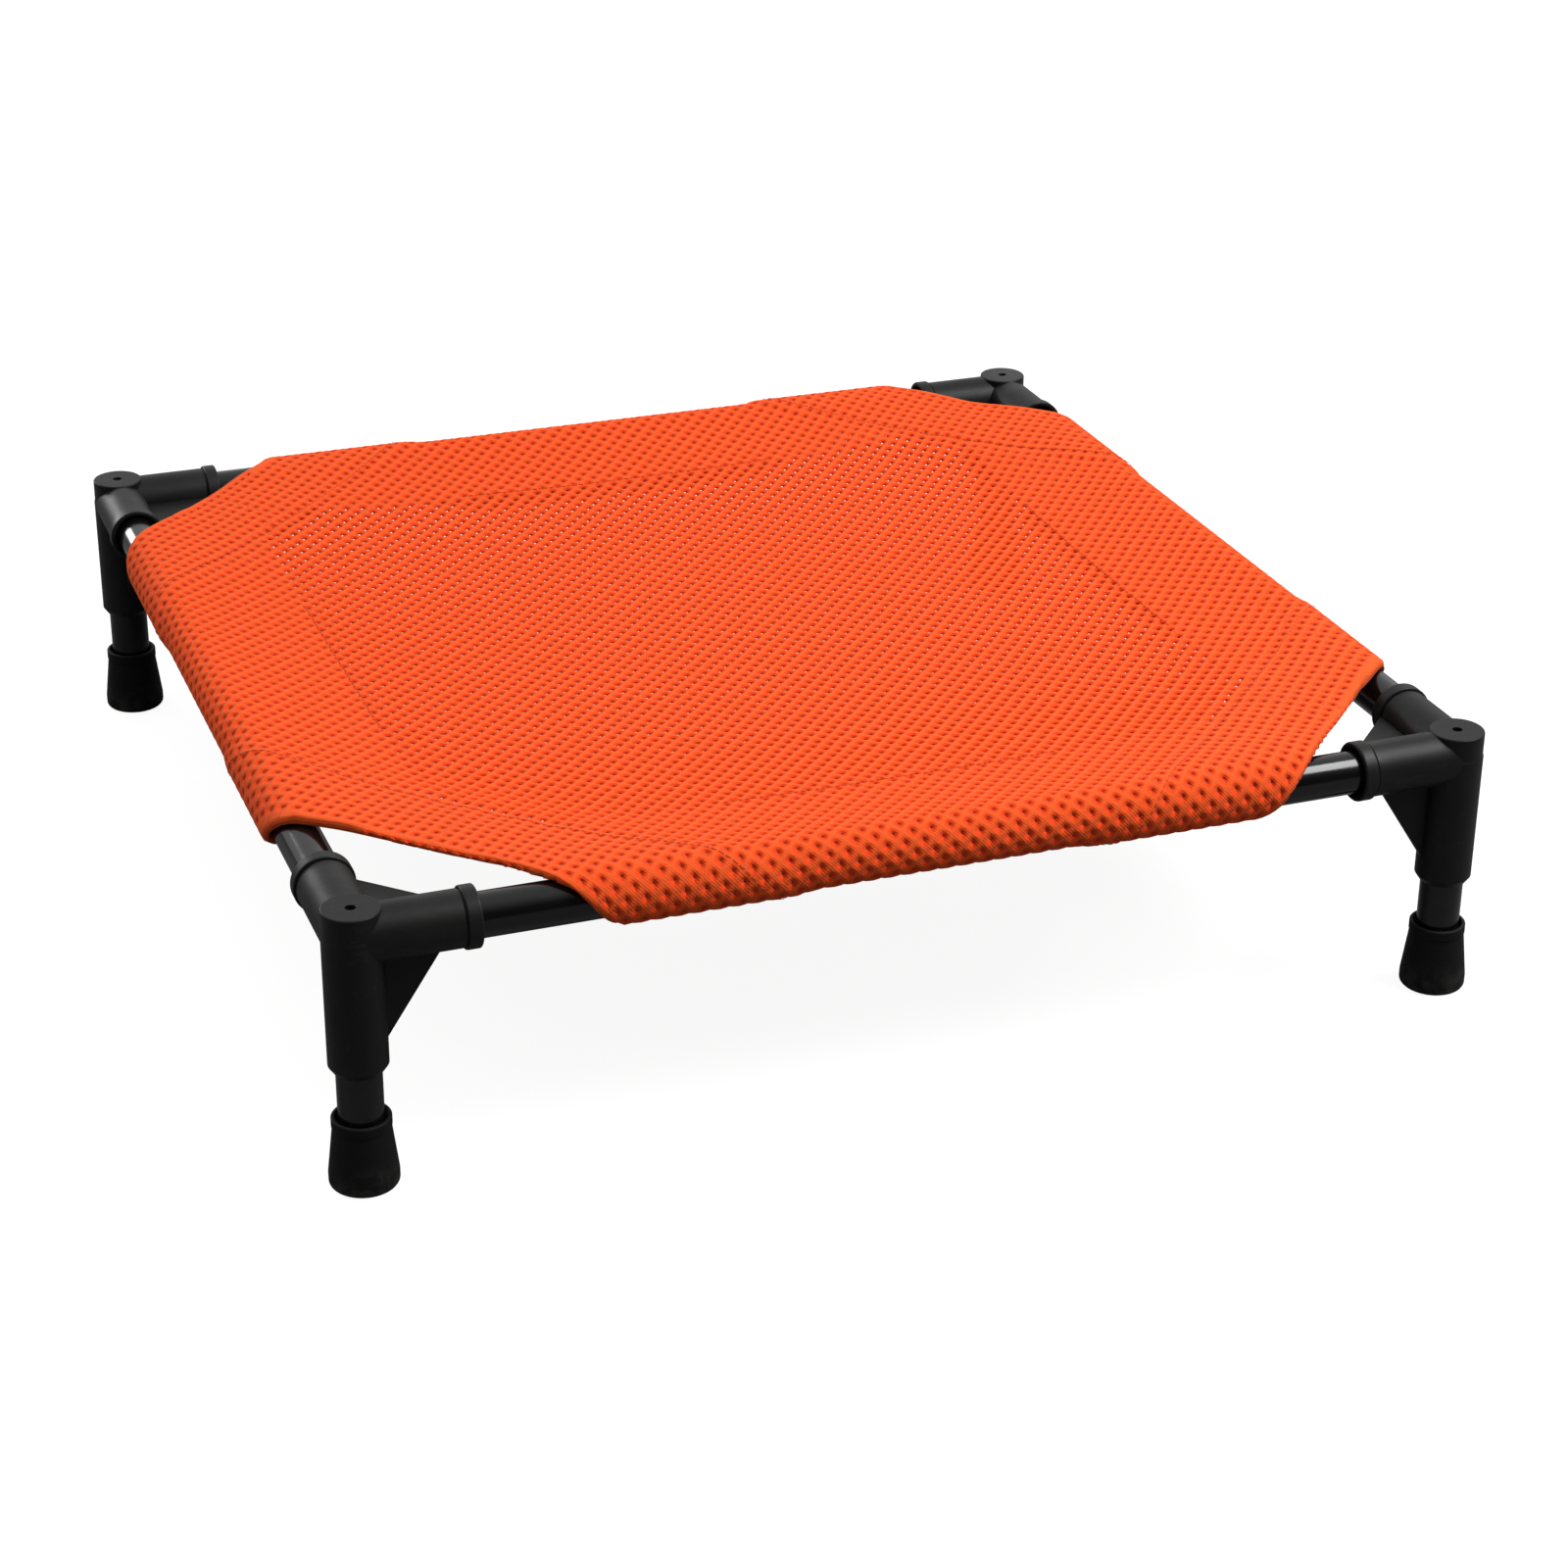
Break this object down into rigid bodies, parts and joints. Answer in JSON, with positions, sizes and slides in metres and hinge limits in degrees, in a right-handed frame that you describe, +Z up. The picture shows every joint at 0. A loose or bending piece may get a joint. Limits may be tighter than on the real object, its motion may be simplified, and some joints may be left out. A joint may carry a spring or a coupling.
{
  "type": "raised dog bed",
  "caption": "Square raised pet bed: orange honeycomb mesh cover sewn round a black tube frame with moulded corner connectors, push-fit legs and rubber feet.",
  "frame": {"origin": "centre of the bed on the floor, under its middle", "axes": "+Z up; X runs along the front rail, left to right; Y runs from the front rail to the back rail"},
  "size_m": [0.6058, 0.6058, 0.1467],
  "materials": {
    "connector_plastic": "satin moulded black",
    "tube_enamel": "gloss black enamel",
    "foot_rubber": "matt black",
    "washer_steel": "zinc plated",
    "mesh_cloth": "orange-red knitted spacer mesh"
  },
  "bodies": {
    "frame": {"corner_connector_front_left": "connector_plastic", "corner_connector_front_right": "connector_plastic", "corner_connector_back_right": "connector_plastic", "corner_connector_back_left": "connector_plastic", "rail_front": "tube_enamel", "rail_right": "tube_enamel", "rail_back": "tube_enamel", "rail_left": "tube_enamel", "mesh_cover": "mesh_cloth"},
    "leg_front_left": {"leg_tube_front_left": "tube_enamel", "foot_front_left": "foot_rubber", "foot_washer_front_left": "washer_steel"},
    "leg_front_right": {"leg_tube_front_right": "tube_enamel", "foot_front_right": "foot_rubber", "foot_washer_front_right": "washer_steel"},
    "leg_back_right": {"leg_tube_back_right": "tube_enamel", "foot_back_right": "foot_rubber", "foot_washer_back_right": "washer_steel"},
    "leg_back_left": {"leg_tube_back_left": "tube_enamel", "foot_back_left": "foot_rubber", "foot_washer_back_left": "washer_steel"}
  },
  "joints": [
    {"name": "leg_front_left_pull", "type": "slide", "parent": "frame", "child": "leg_front_left", "axis": [0, 0, -1], "range_m": [0, 0.05]},
    {"name": "leg_front_right_pull", "type": "slide", "parent": "frame", "child": "leg_front_right", "axis": [0, 0, -1], "range_m": [0, 0.05]},
    {"name": "leg_back_right_pull", "type": "slide", "parent": "frame", "child": "leg_back_right", "axis": [0, 0, -1], "range_m": [0, 0.05]},
    {"name": "leg_back_left_pull", "type": "slide", "parent": "frame", "child": "leg_back_left", "axis": [0, 0, -1], "range_m": [0, 0.05]}
  ]
}
